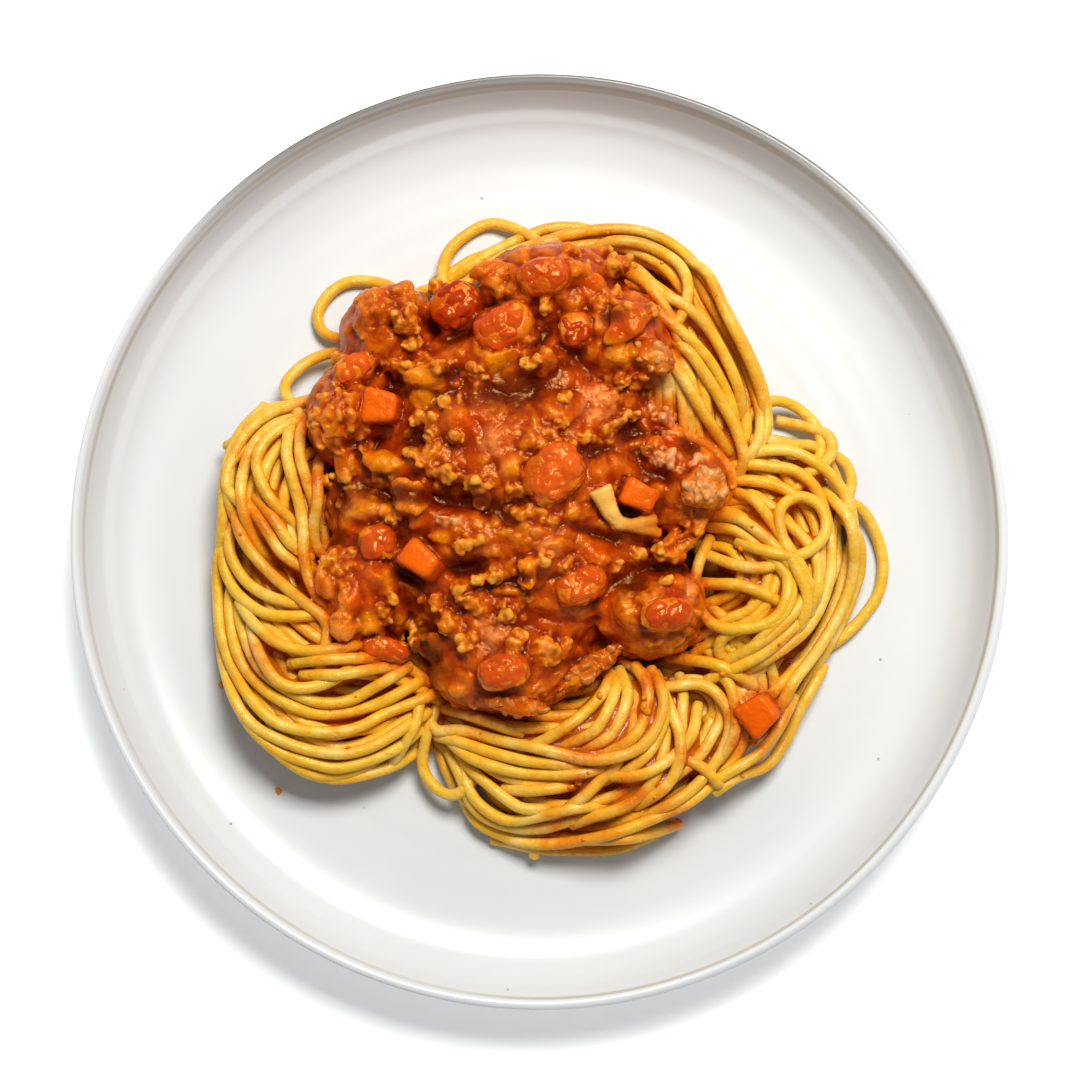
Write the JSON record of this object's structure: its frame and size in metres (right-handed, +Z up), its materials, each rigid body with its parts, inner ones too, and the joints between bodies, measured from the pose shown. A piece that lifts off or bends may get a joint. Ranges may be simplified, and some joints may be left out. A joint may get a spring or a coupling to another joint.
{
  "type": "spaghetti bolognese on a plate",
  "caption": "Nests of spaghetti under a chunky meat and tomato sauce, on a round pale stoneware plate with an upright rim.",
  "frame": {"origin": "middle of the plate's foot, on the surface it stands on", "axes": "+Z up; +Y towards the far side of the plate as it is seen from above in the picture; +X to the right"},
  "size_m": [0.234, 0.234, 0.0434],
  "materials": {
    "glaze": "satin",
    "pasta": "satin",
    "sauce": "gloss",
    "carrot": "satin",
    "tomato": "gloss",
    "onion": "satin",
    "meat": "satin"
  },
  "bodies": {
    "root": {"plate": "glaze", "spaghetti": "pasta", "meat_sauce": "sauce", "carrot_dice_left": "carrot", "carrot_dice_lower": "carrot", "carrot_dice_right": "carrot", "carrot_dice_fallen": "carrot", "tomato_upper_left": "tomato", "tomato_pink_left": "tomato", "tomato_upper": "tomato", "tomato_top": "tomato", "tomato_round": "tomato", "tomato_middle": "tomato", "tomato_lower_left": "tomato", "tomato_wedge": "tomato", "tomato_bottom": "tomato", "tomato_lower": "tomato", "tomato_right": "tomato", "meat_clump_right": "meat", "meat_clump_upper": "meat", "meat_strip_bottom": "meat", "meat_strip_low": "meat", "onion_slip": "onion"}
  },
  "joints": []
}
